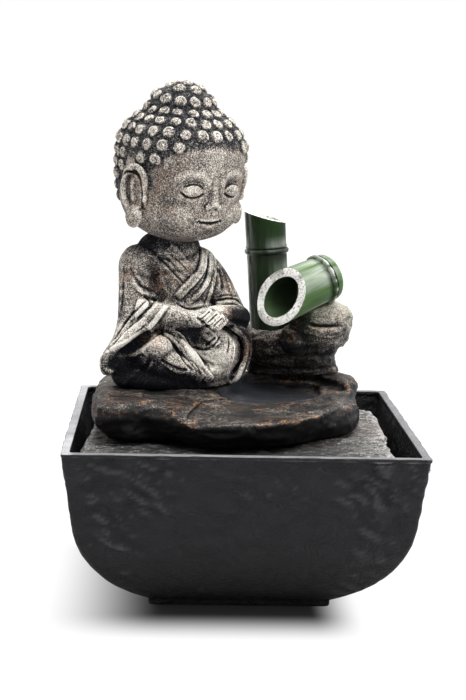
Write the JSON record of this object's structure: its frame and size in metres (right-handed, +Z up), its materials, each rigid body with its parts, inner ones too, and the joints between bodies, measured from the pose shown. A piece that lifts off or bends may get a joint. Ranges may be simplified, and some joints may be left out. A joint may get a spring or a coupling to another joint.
{
  "type": "tabletop water fountain",
  "caption": "Square black bowl with a hidden pump and a lift-out sculpture: a seated child monk beside a rock pool fed by a bamboo spout.",
  "frame": {"origin": "on the surface that the bowl stands on, under the middle of the bowl", "axes": "+Z up, front of the bowl and the figure's side towards -Y, +X to the viewer's right"},
  "size_m": [0.2, 0.2, 0.296],
  "materials": {
    "black_resin": "matte black cast resin with a shallow slate relief",
    "dark_rubber": "soft matte rubber",
    "clear_hose": "milky clear vinyl",
    "slate_resin": "rough dark slate, dry-brushed",
    "rock_resin": "dark brown rock, orange-brown dry-brushed edges",
    "dark_bamboo": "deep green semi-gloss paint with dark streaks",
    "pale_bamboo": "green semi-gloss paint with a pale haze",
    "stone_resin": "pale grey dry-brushed over charcoal, like worn stone",
    "pump_plastic": "moulded black plastic",
    "white_ceramic": "ground ceramic",
    "magnet_plastic": "moulded magnet compound",
    "white_plastic": "moulded plastic"
  },
  "bodies": {
    "bowl": {"bowl": "black_resin", "foot_pad_front_left": "dark_rubber", "foot_pad_front_right": "dark_rubber", "foot_pad_rear_left": "dark_rubber", "foot_pad_rear_right": "dark_rubber", "pump_housing": "pump_plastic", "pump_chamber": "pump_plastic", "suction_cup_front_left": "dark_rubber", "suction_cup_front_right": "dark_rubber", "suction_cup_rear_left": "dark_rubber", "suction_cup_rear_right": "dark_rubber", "front_bush": "white_ceramic", "rear_bush": "white_ceramic", "rotor_shaft": "white_ceramic"},
    "rotor": {"rotor": "magnet_plastic"},
    "strainer": {"strainer": "pump_plastic"},
    "flow_slider": {"flow_slider": "white_plastic"},
    "sculpture": {"deck": "slate_resin", "pool_rock": "rock_resin", "lower_boulder": "rock_resin", "upper_boulder": "rock_resin", "bamboo_upright": "dark_bamboo", "bamboo_spout": "pale_bamboo", "riser_hose": "clear_hose", "figure_body": "stone_resin", "figure_head": "stone_resin"}
  },
  "joints": [
    {"name": "rotor_spin", "type": "hinge", "parent": "bowl", "child": "rotor", "pos_m": [0.022, 0.014, 0.0295], "axis": [0, 1, 0], "continuous": true},
    {"name": "strainer_pull", "type": "slide", "parent": "bowl", "child": "strainer", "axis": [0, -1, 0], "range_m": [0, 0.014]},
    {"name": "flow_slide", "type": "slide", "parent": "strainer", "child": "flow_slider", "axis": [1, 0, 0], "range_m": [-0.0045, 0.0045]},
    {"name": "sculpture_lift", "type": "slide", "parent": "bowl", "child": "sculpture", "axis": [0, 0, 1], "range_m": [0, 0.1]}
  ]
}
